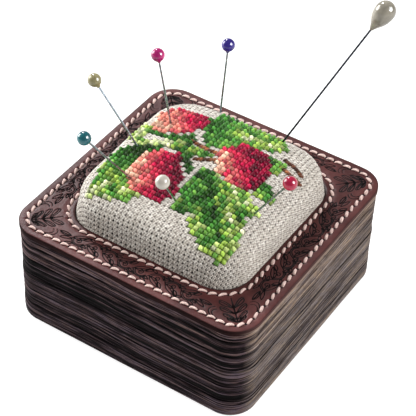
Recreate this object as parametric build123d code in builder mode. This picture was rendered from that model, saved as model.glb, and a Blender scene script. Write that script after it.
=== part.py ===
from build123d import *
import math
import os

# Pin cushion: a block of laminated wood sheets, a stitched leather frame glued on top of it, and a
# domed canvas cushion that stands up through the frame and holds seven pins.
# The origin is the centre of the block's base, +Z is up, and all sizes are in millimetres.

# Block
block_side = 80.0
block_corner = 8.6
sheet_thickness = 6.0
sheet_count = 5
solid_sheets = 2
top_plate_thickness = 3.0
sheet_edge_chamfer = 0.25
sheet_insets = (0.2, 0.3, 0.2, 0.35, 0.25)  # how far each sheet's side stands in from the leather edge
top_plate_inset = 0.2

# Leather frame
lining_thickness = 0.6
leather_thickness = 1.0
leather_edge_round = 0.35
window_half = 28.5
window_corner = 9.0

# Stitching
stitch_length = 2.2
stitch_width = 0.8
stitch_height = 0.45
outer_row_half = 37.5
outer_row_corner = 6.1
outer_row_count = 100
inner_row_half = 30.5
inner_row_corner = 10.5
inner_row_count = 78

# Cushion
canvas_thickness = 0.5
cushion_clearance = 0.2
cushion_rise = 12.5
crown_radius = 180.0
cushion_corner = 10.5
shoulder_radius = 6.5
hem_width = 9.0
board_thickness = 3.0
thread_thickness = 0.35

# Pins
ball_radius = 2.0
collar_radius = 0.55
collar_length = 0.7
ball_neck_radius = 0.9
teardrop_radius = 3.0
teardrop_length = 10.0
teardrop_widest = 6.8
needle_radius = 0.3
needle_point_radius = 0.04
needle_point_length = 3.0
needle_fit = 0.05  # radial clearance of a needle in its channel
channel_overrun = 0.5

# Heights worked out from the sizes above
wood_top = sheet_count * sheet_thickness + top_plate_thickness
leather_base = wood_top + lining_thickness
leather_top = leather_base + leather_thickness
well_floor = solid_sheets * sheet_thickness
board_base = well_floor + canvas_thickness
stuffing_base = board_base + board_thickness
crown_top = leather_top + cushion_rise
cushion_half = window_half - cushion_clearance

# Each pin: where its needle enters the canvas (x, y, z), its lean from upright, the direction that it
# leans towards, the length from there to the centre or foot of its head, and the inserted length.
pins = {
    "teal": dict(entry=(-14.6, -15.1, 46.6), lean=34.5, towards=-111, shown=26.0, inserted=12.0),
    "gold": dict(entry=(-20.7, -2.5, 46.4), lean=27.5, towards=-150, shown=26.5, inserted=11.5),
    "magenta": dict(entry=(-18.9, 11.6, 46.5), lean=9.0, towards=-136, shown=26.0, inserted=12.0),
    "violet": dict(entry=(-10.9, 26.0, 44.5), lean=3.5, towards=12, shown=26.0, inserted=12.0),
    "white": dict(entry=(1.6, -15.9, 46.9), lean=37.0, towards=-71, shown=24.0, inserted=14.0),
    "crimson": dict(entry=(21.9, -7.3, 46.2), lean=32.5, towards=-16, shown=24.0, inserted=14.0),
    "pearl": dict(entry=(11.9, 24.0, 45.6), lean=28.0, towards=33, shown=47.0, inserted=15.0),
}

os.makedirs("parts", exist_ok=True)


def save(piece, name):
    piece.part.label = name
    export_step(piece.part, f"parts/{name}.step")


# ---- block -------------------------------------------------------------------------------------


def save_sheet(name, base, thickness, inset, has_well):
    side = block_side - 2 * inset
    with BuildPart() as sheet:
        with BuildSketch(Plane.XY.offset(base)):
            RectangleRounded(side, side, block_corner - inset)
        extrude(amount=thickness)
        chamfer(sheet.faces().sort_by(Axis.Z)[-1].edges(), sheet_edge_chamfer)
        chamfer(sheet.faces().sort_by(Axis.Z)[0].edges(), sheet_edge_chamfer)
        if has_well:
            with BuildSketch(Plane.XY.offset(base)):
                RectangleRounded(2 * window_half, 2 * window_half, window_corner)
            extrude(amount=thickness, mode=Mode.SUBTRACT)
    save(sheet, name)


save_sheet("base_plate", 0, sheet_thickness, sheet_insets[0], False)
for number in range(2, sheet_count + 1):
    base = (number - 1) * sheet_thickness
    has_well = number > solid_sheets
    save_sheet(f"wood_layer_{number}", base, sheet_thickness, sheet_insets[number - 1], has_well)
save_sheet("top_plate", sheet_count * sheet_thickness, top_plate_thickness, top_plate_inset, True)

# ---- leather frame ------------------------------------------------------------------------------

with BuildPart() as leather_lining:
    with BuildSketch(Plane.XY.offset(wood_top)):
        RectangleRounded(block_side, block_side, block_corner)
        RectangleRounded(2 * window_half, 2 * window_half, window_corner, mode=Mode.SUBTRACT)
    extrude(amount=lining_thickness)
save(leather_lining, "leather_lining")

with BuildPart() as leather_frame:
    with BuildSketch(Plane.XY.offset(leather_base)):
        RectangleRounded(block_side, block_side, block_corner)
    extrude(amount=leather_thickness)
    fillet(leather_frame.faces().sort_by(Axis.Z)[-1].edges(), leather_edge_round)
    with BuildSketch(Plane.XY.offset(leather_base)):
        RectangleRounded(2 * window_half, 2 * window_half, window_corner)
    extrude(amount=leather_thickness, mode=Mode.SUBTRACT)
save(leather_frame, "leather_frame")

# ---- stitching ----------------------------------------------------------------------------------


def stitch_places(half, corner, count):
    """Evenly spaced places round a rounded square, each turned along its outline."""
    outline = RectangleRounded(2 * half, 2 * half, corner, mode=Mode.PRIVATE).wire()
    places = []
    for index in range(count):
        share = (index + 0.5) / count
        tangent = outline.tangent_at(share)
        turn = math.degrees(math.atan2(tangent.Y, tangent.X))
        places.append(Location(outline.position_at(share), (0, 0, turn)))
    return places


def save_stitching(name, half, corner, count):
    with BuildPart() as stitching:
        with BuildSketch(Plane.XY.offset(leather_top)):
            with Locations(*stitch_places(half, corner, count)):
                SlotOverall(stitch_length, stitch_width)
        extrude(amount=stitch_height)
    save(stitching, name)


save_stitching("outer_stitching", outer_row_half, outer_row_corner, outer_row_count)
save_stitching("inner_stitching", inner_row_half, inner_row_corner, inner_row_count)

# ---- cushion ------------------------------------------------------------------------------------


def cushion_form(base, growth):
    """The crowned cushion from a base height up, with every outer face moved out by growth."""
    side = 2 * (cushion_half + growth)
    top = crown_top + growth
    with BuildPart() as form:
        with BuildSketch(Plane.XY.offset(base)):
            RectangleRounded(side, side, cushion_corner + growth)
        extrude(amount=top - base)
        with Locations((0, 0, top - crown_radius)):
            Sphere(crown_radius, mode=Mode.INTERSECT)
        crown = form.faces().sort_by(Axis.Z)[-1]
        fillet(crown.edges(), shoulder_radius + growth)
    return form.part


def pin_direction(pin):
    lean = math.radians(pin["lean"])
    towards = math.radians(pin["towards"])
    flat = math.sin(lean)
    return Vector(flat * math.cos(towards), flat * math.sin(towards), math.cos(lean))


def pin_plane(pin):
    """A plane through the pin's axis: its origin is the entry point and its Y runs up the needle."""
    along = pin_direction(pin)
    towards = math.radians(pin["towards"])
    across = Vector(-math.sin(towards), math.cos(towards), 0)
    return Plane(origin=pin["entry"], x_dir=across, z_dir=across.cross(along))


def cut_channels():
    """Cuts each needle's channel out of the part that is being built."""
    for pin in pins.values():
        along = pin_direction(pin)
        depth = pin["inserted"] + channel_overrun
        foot = Vector(*pin["entry"]) - along * depth
        with BuildSketch(Plane(origin=foot, z_dir=along)) as channel:
            Circle(needle_radius + needle_fit)
        extrude(channel.sketch, amount=depth + shoulder_radius, mode=Mode.SUBTRACT)


outer_form = cushion_form(well_floor, 0)
inner_form = cushion_form(board_base, -canvas_thickness)
stuffing_form = cushion_form(stuffing_base, -canvas_thickness)
thread_form = cushion_form(leather_top, thread_thickness)

with BuildPart() as canvas_cover:
    add(outer_form)
    add(inner_form, mode=Mode.SUBTRACT)
    with BuildSketch(Plane.XY.offset(well_floor)):
        opening = 2 * (cushion_half - hem_width)
        RectangleRounded(opening, opening, cushion_corner / 2)
    extrude(amount=canvas_thickness, mode=Mode.SUBTRACT)
    cut_channels()
save(canvas_cover, "canvas_cover")

with BuildPart() as stuffing:
    add(stuffing_form)
    cut_channels()
save(stuffing, "stuffing")

with BuildPart() as cushion_board:
    with BuildSketch(Plane.XY.offset(board_base)):
        board_side = 2 * (cushion_half - canvas_thickness)
        RectangleRounded(board_side, board_side, cushion_corner - canvas_thickness)
    extrude(amount=board_thickness)
save(cushion_board, "cushion_board")

# ---- embroidery ---------------------------------------------------------------------------------

# Berries: centre x, y, half-width and half-height
berries = (
    (-9.5, -9.0, 8.8, 9.6),
    (-18.0, 13.0, 7.0, 7.6),
    (8.5, 7.0, 8.4, 8.8),
)
# Leaves: outlines of a few points each
big_leaf = ((1, 2), (16, 0), (23, -9), (25, -24), (12, -18), (4, -19), (-1, -9))
left_leaf = ((-26, 1), (-17, 6), (-9, 4), (-9, -20), (-25, -22))
top_leaf = ((-11, 18), (-14, 25), (12, 26), (14, 19), (4, 16), (-5, 8))
side_leaf = ((15, 9), (25, 0), (16, -2))
# Stems: ends of each straight run
stems = (((-9, 9), (1, 8)), ((-4, 0), (1, 5)), ((17, 17), (24, 14)))
stem_width = 1.6


def berry_outlines(mode=Mode.ADD):
    for x, y, half_width, half_height in berries:
        with Locations((x, y)):
            Ellipse(half_width, half_height, mode=mode)


def leaf_outlines(mode=Mode.ADD):
    for leaf in (big_leaf, left_leaf, top_leaf, side_leaf):
        Polygon(*leaf, align=None, mode=mode)


def clip_to_thread_layer():
    """Keeps only the thread's thickness on the canvas, clear of the needles."""
    extrude(amount=cushion_rise + 2 * thread_thickness)
    add(thread_form, mode=Mode.INTERSECT)
    add(outer_form, mode=Mode.SUBTRACT)
    cut_channels()


with BuildPart() as berry_embroidery:
    with BuildSketch(Plane.XY.offset(leather_top)):
        berry_outlines()
    clip_to_thread_layer()
save(berry_embroidery, "berry_embroidery")

with BuildPart() as leaf_embroidery:
    with BuildSketch(Plane.XY.offset(leather_top)):
        leaf_outlines()
        berry_outlines(Mode.SUBTRACT)
    clip_to_thread_layer()
save(leaf_embroidery, "leaf_embroidery")

with BuildPart() as stem_embroidery:
    with BuildSketch(Plane.XY.offset(leather_top)):
        for start, end in stems:
            with BuildLine():
                run = Line(start, end)
            trace(run, stem_width)
        leaf_outlines(Mode.SUBTRACT)
        berry_outlines(Mode.SUBTRACT)
    clip_to_thread_layer()
save(stem_embroidery, "stem_embroidery")

# ---- pins ---------------------------------------------------------------------------------------


def needle_top(name, pin):
    """How far up the needle reaches inside its head."""
    if name == "pearl":
        return pin["shown"] + teardrop_length / 2
    return pin["shown"] + ball_radius / 2


def save_needle(name, pin):
    plane = pin_plane(pin)
    point = -pin["inserted"]
    top = needle_top(name, pin)
    with BuildPart() as needle:
        with BuildSketch(plane):
            with BuildLine():
                Polyline(
                    (0, point),
                    (needle_point_radius, point),
                    (needle_radius, point + needle_point_length),
                    (needle_radius, top),
                    (0, top),
                    close=True,
                )
            make_face()
        revolve(axis=Axis(pin["entry"], pin_direction(pin)))
    save(needle, f"{name}_pin_needle")


def ball_profile(middle):
    """The ball's outline from the foot of its collar up over its top."""
    neck = middle - math.sqrt(ball_radius**2 - ball_neck_radius**2)
    foot = neck - collar_length
    Line((needle_radius, foot), (collar_radius, foot))
    Line((collar_radius, foot), (ball_neck_radius, neck))
    ThreePointArc((ball_neck_radius, neck), (ball_radius, middle), (0, middle + ball_radius))
    return foot, middle + ball_radius


def teardrop_profile(foot):
    """The teardrop's outline from its narrow foot up over its round end."""
    wide = foot + teardrop_widest
    end = foot + teardrop_length
    radius = teardrop_radius
    Line((needle_radius, foot), (collar_radius, foot))
    Bezier((collar_radius, foot), (0.45 * radius, foot + 2.2), (radius, wide - 3.4), (radius, wide))
    Bezier((radius, wide), (radius, wide + 1.8), (0.55 * radius, end), (0, end))
    return foot, end


def save_head(name, pin):
    top = needle_top(name, pin)
    profile = teardrop_profile if name == "pearl" else ball_profile
    with BuildPart() as head:
        with BuildSketch(pin_plane(pin)):
            with BuildLine():
                foot, end = profile(pin["shown"])
                Polyline((0, end), (0, top), (needle_radius, top), (needle_radius, foot))
            make_face()
        revolve(axis=Axis(pin["entry"], pin_direction(pin)))
    save(head, f"{name}_pin_head")


for name, pin in pins.items():
    save_needle(name, pin)
    save_head(name, pin)
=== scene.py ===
import math
import random

import bmesh
import bpy
import numpy as np
from mathutils import Matrix, Vector
from mathutils.bvhtree import BVHTree


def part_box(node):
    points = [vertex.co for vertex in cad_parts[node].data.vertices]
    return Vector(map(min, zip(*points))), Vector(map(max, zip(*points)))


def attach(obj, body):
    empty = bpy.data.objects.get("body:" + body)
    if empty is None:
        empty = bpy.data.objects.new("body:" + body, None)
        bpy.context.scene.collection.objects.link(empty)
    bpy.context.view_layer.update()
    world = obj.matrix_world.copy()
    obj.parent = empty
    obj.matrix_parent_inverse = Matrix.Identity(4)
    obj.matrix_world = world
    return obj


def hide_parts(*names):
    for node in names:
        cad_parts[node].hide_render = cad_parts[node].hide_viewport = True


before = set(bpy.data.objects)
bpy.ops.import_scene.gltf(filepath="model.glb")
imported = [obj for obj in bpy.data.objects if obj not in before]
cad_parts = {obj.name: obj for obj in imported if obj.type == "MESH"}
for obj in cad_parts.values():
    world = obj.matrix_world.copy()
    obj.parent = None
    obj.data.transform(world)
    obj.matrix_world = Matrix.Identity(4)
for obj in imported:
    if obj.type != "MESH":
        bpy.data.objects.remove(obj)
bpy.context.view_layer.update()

MM = 0.001

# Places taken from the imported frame, in metres
leather_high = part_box("leather_frame")[1]
LEATHER_HALF = leather_high.x
LEATHER_TOP = leather_high.z
CROWN_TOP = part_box("canvas_cover")[1].z

# Wood block: the well's floor, and where the sheets above are worn less
WELL_FLOOR = 12.0 * MM
UPPER_SHEETS = 27.0 * MM

# Leather frame: half-size and corner radius of each line round it, from the outside in
CORNER = 8.6 * MM
OUTER_ROW = (37.5 * MM, 6.1 * MM, 100)
INNER_ROW = (30.5 * MM, 10.5 * MM, 78)
WINDOW = (28.5 * MM, 9.0 * MM)
ORNAMENT_BAND = (31.3 * MM, 36.8 * MM)
PALMETTE_REACH = 45.3 * MM  # from the middle of the block to the middle of a corner's palmette
SCROLLS = 4
SCROLL_PITCH = 10.6 * MM

# Canvas: sixteen holes to the inch
CELL = 25.4 / 16 * MM
CUSHION_HALF = 29.0 * MM
CUSHION_CORNER = 11.0 * MM
CUSHION_FLAT = CUSHION_HALF - CUSHION_CORNER
SHOULDER = 5.5 * MM
CROWN = 1.5 * MM
CORNER_MELT = 3.2 * MM  # how much the stuffing falls away at the upper corners
SWELL_LIMIT = 0.9 * MM
SKIRT = 2.5 * MM  # how far the canvas goes on below the leather's top
SHOULDER_TOP = CROWN_TOP - CROWN

# The cloth simulation that swells the cushion
SWELL_FRAMES = 20
CLOTH_SETTINGS = {
    "quality": 6,
    "mass": 0.3,
    "tension_stiffness": 20.0,
    "compression_stiffness": 20.0,
    "shear_stiffness": 10.0,
    "bending_stiffness": 2.0,
    "use_pressure": True,
    "uniform_pressure_force": 0.35,
    "vertex_group_mass": "held",
}

# The pale surroundings
SKY_STRENGTH = 0.34
FLOOR_GLOW = 0.78

random.seed(7)
noise_source = np.random.default_rng(7)


# ---- colours and materials ----


def linear(red, green, blue):
    """Linear colour from display values of 0 to 255."""
    steps = []
    for value in (red, green, blue):
        part = value / 255
        steps.append(part / 12.92 if part <= 0.04045 else ((part + 0.055) / 1.055) ** 2.4)
    return (*steps, 1.0)


WHITE = (1.0, 1.0, 1.0, 1.0)


class Wire:
    """An output of a node; arithmetic on it adds maths nodes."""

    def __init__(self, nodes, socket):
        self.nodes = nodes
        self.socket = socket

    def __add__(self, other):
        return self.nodes.math("ADD", self, other)

    def __sub__(self, other):
        return self.nodes.math("SUBTRACT", self, other)

    def __rsub__(self, other):
        return self.nodes.math("SUBTRACT", other, self)

    def __mul__(self, other):
        return self.nodes.math("MULTIPLY", self, other)

    def __pow__(self, other):
        return self.nodes.math("POWER", self, other)

    def __abs__(self):
        return self.nodes.math("ABSOLUTE", self)


class Nodes:
    """A short way to build a material's node tree."""

    def __init__(self, name):
        self.material = bpy.data.materials.new(name)
        self.material.use_nodes = True
        self.tree = self.material.node_tree
        self.shader = self.tree.nodes["Principled BSDF"]

    def add(self, kind, output, settings=None, **inputs):
        """Adds a node; inputs are given by name, or by index after an underscore, as in _0."""
        node = self.tree.nodes.new(kind)
        for key, value in (settings or {}).items():
            setattr(node, key, value)
        for key, value in inputs.items():
            self.put(node.inputs[int(key[1:]) if key[0] == "_" else key.replace("_", " ")], value)
        return Wire(self, node.outputs[output])

    def put(self, socket, value):
        if isinstance(value, Wire):
            self.tree.links.new(value.socket, socket)
        else:
            socket.default_value = value

    def set(self, **inputs):
        for key, value in inputs.items():
            self.put(self.shader.inputs[key.replace("_", " ")], value)

    def math(self, operation, first, second=0.0):
        return self.add("ShaderNodeMath", 0, {"operation": operation}, _0=first, _1=second)

    def wave(self, value, rate):
        """A sine of the value that goes from 0 to 1."""
        return self.span(self.math("SINE", value * (rate * math.pi)), 0.0, 1.0, -1.0, 1.0)

    def scaled(self, vector, *scale):
        return self.add("ShaderNodeMapping", 0, Vector=vector, Scale=scale)

    def part(self, vector, axis):
        return self.add("ShaderNodeSeparateXYZ", axis, _0=vector)

    def place(self):
        return self.add("ShaderNodeTexCoord", "Object")

    def facing(self, axis):
        """How far a face looks along an axis, either way."""
        return abs(self.part(self.add("ShaderNodeTexCoord", "Normal"), axis))

    def stored(self, name, output="Fac"):
        return self.add("ShaderNodeAttribute", output, {"attribute_name": name})

    def uv(self, name, axis):
        return self.part(self.add("ShaderNodeUVMap", "UV", {"uv_map": name}), axis)

    def noise(self, vector, scale, detail=3.0, rough=0.55):
        inputs = {"Vector": vector, "Scale": scale, "Detail": detail, "Roughness": rough}
        return self.add("ShaderNodeTexNoise", "Fac", **inputs)

    def ramp(self, factor, *stops):
        node = self.tree.nodes.new("ShaderNodeValToRGB")
        while len(node.color_ramp.elements) < len(stops):
            node.color_ramp.elements.new(0.5)
        for element, (place, colour) in zip(node.color_ramp.elements, stops):
            element.position = place
            element.color = colour
        self.put(node.inputs["Fac"], factor)
        return Wire(self, node.outputs["Color"])

    def span(self, factor, low, high, start=0.0, end=1.0):
        return self.add("ShaderNodeMapRange", "Result", _0=factor, _1=start, _2=end, _3=low, _4=high)

    def mix(self, factor, first, second, blend="MIX"):
        settings = {"data_type": "RGBA", "blend_type": blend}
        return self.add("ShaderNodeMix", 2, settings, Factor=factor, _6=first, _7=second)

    def bump(self, height, distance, strength=1.0):
        self.set(Normal=self.add("ShaderNodeBump", 0, Height=height, Distance=distance, Strength=strength))


# ---- mesh helpers ----


def make_piece(name, points, quads, material):
    """A mesh object from arrays of points and of four-cornered faces."""
    mesh = bpy.data.meshes.new(name)
    points = np.asarray(points, dtype=np.float32).reshape(-1, 3)
    quads = np.asarray(quads, dtype=np.int32).reshape(-1, 4)
    mesh.vertices.add(len(points))
    mesh.vertices.foreach_set("co", points.ravel())
    mesh.loops.add(quads.size)
    mesh.loops.foreach_set("vertex_index", quads.ravel())
    mesh.polygons.add(len(quads))
    mesh.polygons.foreach_set("loop_start", np.arange(0, quads.size, 4, dtype=np.int32))
    mesh.update(calc_edges=True)
    mesh.validate()
    mesh.polygons.foreach_set("use_smooth", np.full(len(mesh.polygons), True))
    mesh.materials.append(material)
    piece = bpy.data.objects.new(name, mesh)
    bpy.context.scene.collection.objects.link(piece)
    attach(piece, "cushion")
    return piece


def close_holes(piece):
    """Fills every open edge of a piece with one flat face."""
    shape = bmesh.new()
    shape.from_mesh(piece.data)
    rim = [edge for edge in shape.edges if edge.is_boundary]
    bmesh.ops.holes_fill(shape, edges=rim, sides=0)
    shape.to_mesh(piece.data)
    shape.free()


def point_values(piece, name, values):
    """Stores one number for each vertex, for the material to read."""
    attribute = piece.data.attributes.new(name, "FLOAT", "POINT")
    attribute.data.foreach_set("value", np.asarray(values, dtype=np.float32).ravel())


def point_colours(piece, name, values):
    """Stores one colour for each vertex."""
    attribute = piece.data.color_attributes.new(name, "FLOAT_COLOR", "POINT")
    attribute.data.foreach_set("color", np.asarray(values, dtype=np.float32).ravel())


def point_uvs(piece, name, along, around):
    """Stores a pair of values for each vertex as UVs."""
    layer = piece.data.uv_layers.new(name=name)
    corners = np.empty(len(piece.data.loops), dtype=np.int32)
    piece.data.loops.foreach_get("vertex_index", corners)
    values = np.column_stack([along[corners], around[corners]]).astype(np.float32)
    layer.data.foreach_set("uv", values.ravel())


def grid_quads(size):
    """Faces of a square grid of points, by row and column."""
    index = np.arange(size * size).reshape(size, size)
    return np.stack([index[:-1, :-1], index[:-1, 1:], index[1:, 1:], index[1:, :-1]], axis=-1)


def bell(gap, width):
    """A bell curve: 1 where the gap is nothing, and next to nothing past two widths."""
    return np.exp(-((gap / width) ** 2))


def fall(gap, length):
    """From 1 where the gap is nothing down to 0 at the given length."""
    return np.clip(1 - gap / length, 0, 1)


def loop_quads(rings, length, closed_rings=False):
    """Faces between successive closed loops of points, each of the same length."""
    ring = np.arange(rings if closed_rings else rings - 1)[:, None]
    step = np.arange(length)[None, :]
    after = (ring + 1) % rings
    ahead = (step + 1) % length
    corners = (ring, step), (ring, ahead), (after, ahead), (after, step)
    return np.stack([(row * length + place).ravel() for row, place in corners], axis=1)


def rounded_square(half, corner, straight_steps, corner_steps):
    """Points and outward directions round a rounded square, with the same count for any size."""
    points = []
    outward = []
    flat = half - corner
    for quarter in range(4):
        turn = quarter * math.pi / 2
        along = np.array([math.cos(turn + math.pi / 2), math.sin(turn + math.pi / 2)])
        out = np.array([math.cos(turn), math.sin(turn)])
        for step in range(straight_steps):
            share = step / straight_steps
            points.append(out * half + along * flat * (2 * share - 1))
            outward.append(out)
        centre = (out + along) * flat
        for step in range(corner_steps):
            angle = turn + step / corner_steps * math.pi / 2
            direction = np.array([math.cos(angle), math.sin(angle)])
            points.append(centre + corner * direction)
            outward.append(direction)
    return np.array(points), np.array(outward)


def smooth_noise(points, size, seed):
    """Soft random values from -1 to 1 that change over about the given size."""
    source = np.random.default_rng(seed)
    total = np.zeros(len(points))
    for _ in range(7):
        direction = source.normal(size=3)
        direction *= source.uniform(0.6, 1.4) * 2 * math.pi / size / np.linalg.norm(direction)
        total += np.sin(points @ direction + source.uniform(0, 2 * math.pi))
    return total / 3.5


# ---- camera, light and floor ----


def make_camera():
    """The camera looks down on the +X, -Y corner from about half a metre away."""
    around, above, roll = math.radians(31.942), math.radians(42.254), math.radians(2.180)
    distance = 512.2 * MM
    target = Vector((-16.80, 30.62, 0)) * MM
    back = Vector((
        math.sin(around) * math.cos(above), -math.cos(around) * math.cos(above), math.sin(above)
    ))
    right = (-back).cross(Vector((0, 0, 1))).normalized()
    up = right.cross(-back)
    side = right * math.cos(roll) + up * math.sin(roll)
    top = up * math.cos(roll) - right * math.sin(roll)
    data = bpy.data.cameras.new("camera")
    data.sensor_width = 36.0
    data.lens = 138.2
    data.clip_start = 0.01
    data.clip_end = 20.0
    camera = bpy.data.objects.new("camera", data)
    turned = Matrix((side, top, back)).transposed().to_4x4()
    camera.matrix_world = Matrix.Translation(target + back * distance) @ turned
    bpy.context.scene.collection.objects.link(camera)
    bpy.context.scene.camera = camera


def aim(piece, place, target=(0, 0, 0.03)):
    piece.location = place
    piece.rotation_mode = "QUATERNION"
    piece.rotation_quaternion = (Vector(target) - Vector(place)).to_track_quat("-Z", "Y")
    bpy.context.scene.collection.objects.link(piece)


def make_softbox(name, place, size, watts, colour, only_gloss=False):
    data = bpy.data.lights.new(name, "AREA")
    data.shape = "DISK"
    data.size = size
    data.energy = watts
    data.color = colour
    softbox = bpy.data.objects.new(name, data)
    softbox.visible_diffuse = not only_gloss
    aim(softbox, place)


def make_studio():
    """Low key from the right, a softbox behind on the left for gloss, and pale surroundings."""
    world = bpy.data.worlds.new("studio")
    world.use_nodes = True
    background = world.node_tree.nodes["Background"]
    background.inputs["Color"].default_value = WHITE
    background.inputs["Strength"].default_value = SKY_STRENGTH
    bpy.context.scene.world = world
    make_softbox("key", (0.95, 0.14, 0.66), 0.50, 12.0, (1.0, 0.97, 0.95))
    make_softbox("back softbox", (-0.56, 0.42, 0.60), 0.20, 6.0, (0.98, 0.98, 1.0))
    make_softbox("left fill", (-0.95, -0.10, 0.36), 0.7, 16.0, (1.0, 0.99, 0.97))
    make_softbox("window", (0.95, 0.24, 0.68), 0.95, 30.0, (0.95, 0.98, 1.0), only_gloss=True)
    floor_nodes = Nodes("floor")
    floor_nodes.set(Base_Color=(0.4, 0.4, 0.4, 1.0), Roughness=0.8)
    floor_nodes.set(Emission_Color=WHITE, Emission_Strength=FLOOR_GLOW)
    bpy.ops.mesh.primitive_plane_add(size=8.0, location=(0, 0, -0.0001))
    floor = bpy.context.object
    floor.name = "floor"
    floor.data.materials.append(floor_nodes.material)
    bpy.context.scene.view_settings.view_transform = "Standard"


# ---- wood block ----


def wood_material():
    """Dark stained sheets: grain runs level round the sides; faces turned front or back are darker, partly as
    end grain soaks up more stain and partly as painted shade.
    """
    wood = Nodes("layered wood")
    place = wood.place()
    # Painted shade: faces turned front or back take a darker tone, partly end grain, partly standing in for
    # the front lying in shadow.
    facing_front_back = wood.facing("Y")
    height = wood.part(place, "Z")
    sway = wood.add("ShaderNodeTexNoise", "Fac", Vector=place, Scale=22.0, Detail=2.0)
    swing = wood.span(sway, -2.2 * MM, 2.2 * MM) * wood.span(facing_front_back, 0.2, 1.0)
    lift = wood.add("ShaderNodeCombineXYZ", 0, Z=swing)
    swayed = wood.add("ShaderNodeVectorMath", 0, {"operation": "ADD"}, _0=place, _1=lift)
    bands = wood.noise(wood.scaled(swayed, 9, 9, 520), 1.0, 1.0, 0.5)
    grain = wood.noise(wood.scaled(swayed, 16, 16, 1400), 1.0, 2.0, 0.6)
    fibres = wood.noise(wood.scaled(swayed, 90, 90, 3000), 1.0, 2.0, 0.7)
    flecks = wood.noise(wood.scaled(place, 500, 500, 2200), 1.0, 3.0, 0.7)
    stained = wood.stored("stained")
    even = grain * 0.5 + fibres * 0.5 + wood.span(stained, 0.03, -0.015)
    streaks = bands * 0.22 + grain * 0.38 + fibres * 0.40 + wood.span(stained, 0.03, -0.05)
    along = wood.ramp(
        even,
        (0.42, linear(34, 27, 27)),
        (0.465, linear(72, 62, 60)),
        (0.52, linear(97, 88, 84)),
        (0.59, linear(124, 113, 105)),
    )
    # The darker tone for front and back: end grain, with painted shade for the front in shadow.
    end = wood.ramp(
        streaks,
        (0.43, linear(0, 0, 0)),
        (0.465, linear(18, 9, 13)),
        (0.50, linear(54, 42, 46)),
        (0.56, linear(94, 80, 84)),
    )
    tone = wood.mix(wood.span(facing_front_back, 0.0, 1.0, 0.2, 0.6), along, end)
    warmth = wood.noise(wood.scaled(place, 260, 260, 1500), 1.0, 2.0, 0.6)
    tint = wood.ramp(warmth, (0.38, (0.92, 0.96, 1.08, 1)), (0.62, (1.08, 1.01, 0.90, 1)))
    tone = wood.mix(1.0, tone, tint, "MULTIPLY")
    for low, high, paler in ((23.5, 25.0, (1.36, 1.30, 1.20, 1)), (32.2, 32.7, (1.45, 1.45, 1.45, 1))):
        above = wood.span(height, 0.0, 1.0, low * MM, high * MM)
        tone = wood.mix(1.0, tone, wood.mix(above, WHITE, paler), "MULTIPLY")
    joint = wood.stored("ply_joint") * wood.span(facing_front_back, 0.30, 1.0)
    tone = wood.mix(wood.math("MAXIMUM", wood.stored("recess"), joint), tone, linear(6, 4, 5))
    tone = wood.mix(wood.span(flecks, 0.0, 0.6, 0.5, 0.72), tone, linear(14, 9, 10))
    wood.set(Base_Color=tone, Roughness=wood.span(grain, 0.5, 0.7), Specular_IOR_Level=0.03)
    wood.bump(grain + flecks, 0.15 * MM, 0.6)
    return wood.material


def worn_side(low, high, seed):
    """A sheet's side in rings from bottom to top, worn unevenly between plies, and each ring's marks."""
    plies = 5 if high.z - low.z > 5 * MM else 3
    outline, outward = rounded_square(high.x, CORNER - (LEATHER_HALF - high.x), 60, 24)
    side_rows = 8 * plies + 1
    edge = 0.5 * MM
    source = np.random.default_rng(seed)
    ply_depth = source.uniform(0.02, 0.11, plies) * MM
    ply_stain = source.uniform(0.0, 1.0, plies)
    rings = []
    marks = []
    for row in range(side_rows):
        share = row / (side_rows - 1)
        z = low.z + share * (high.z - low.z)
        rounding = max(0.0, 1 - min(z - low.z, high.z - z) / edge)
        ply = min(int(share * plies), plies - 1)
        within = share * plies - ply
        ring = np.column_stack([outline, np.full(len(outline), z)])
        wander = smooth_noise(ring * (1, 1, 12), 22 * MM, seed + 3) * 0.05 * MM
        joint = bell(min(within, 1 - within), 0.16)
        joint = joint * np.clip(0.7 + 0.8 * smooth_noise(ring, 26 * MM, seed * 50 + ply), 0, 1)
        inward = edge * 0.9 * rounding**2 + ply_depth[ply] + joint * 0.10 * MM + wander
        ring[:, :2] -= outward * inward[:, None]
        rings.append(ring)
        faint = 0.3 if z > UPPER_SHEETS else 1.0
        wear = np.clip(0.95 + 0.25 * smooth_noise(ring, 18 * MM, seed * 20), 0, 1)
        recess = np.clip(rounding * 1.7, 0, 1) * faint * wear
        stain_and_shade = ply_stain[ply] + 0.3 * smooth_noise(ring * (1, 1, 3), 40 * MM, seed * 70 + ply)
        marks.append((recess, joint, np.clip(stain_and_shade, 0, 1)))
    return rings, marks


def make_sheet(name, material, seed):
    """One wood sheet; those with the cushion's well in them are rings."""
    low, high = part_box(name)
    has_well = low.z > WELL_FLOOR - 1 * MM
    rings, marks = worn_side(low, high, seed)
    side_rows, count = len(rings), len(rings[0])
    if has_well:
        well, _ = rounded_square(*WINDOW, 60, 24)
        rings += [np.column_stack([well, np.full(count, z)]) for z in (high.z, low.z)]
        marks += [np.zeros((3, count))] * 2
    quads = loop_quads(len(rings), count, closed_rings=has_well)
    piece = make_piece(f"{name}_shape", np.concatenate(rings), quads, material)
    if not has_well:
        close_holes(piece)
    for index, mark in enumerate(("recess", "ply_joint", "stained")):
        point_values(piece, mark, np.concatenate([of_ring[index] for of_ring in marks]))
    mark_flat_rings(piece, count, side_rows)
    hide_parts(name)


def mark_flat_rings(piece, count, rows):
    """Keeps the edges between a sheet's side and its faces crisp."""
    ends = {0, rows - 1}
    for edge in piece.data.edges:
        first, second = edge.vertices
        if first // count == second // count and first // count in ends:
            edge.use_edge_sharp = True


# ---- leather frame ----


def bezier(points, steps=14):
    """Points along one cubic curve."""
    share = np.linspace(0, 1, steps)[:, None]
    first, second, third, fourth = (np.array(point, dtype=float) for point in points)
    back = 1 - share
    return back**3 * first + 3 * back**2 * share * second + 3 * back * share**2 * third + share**3 * fourth


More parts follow.
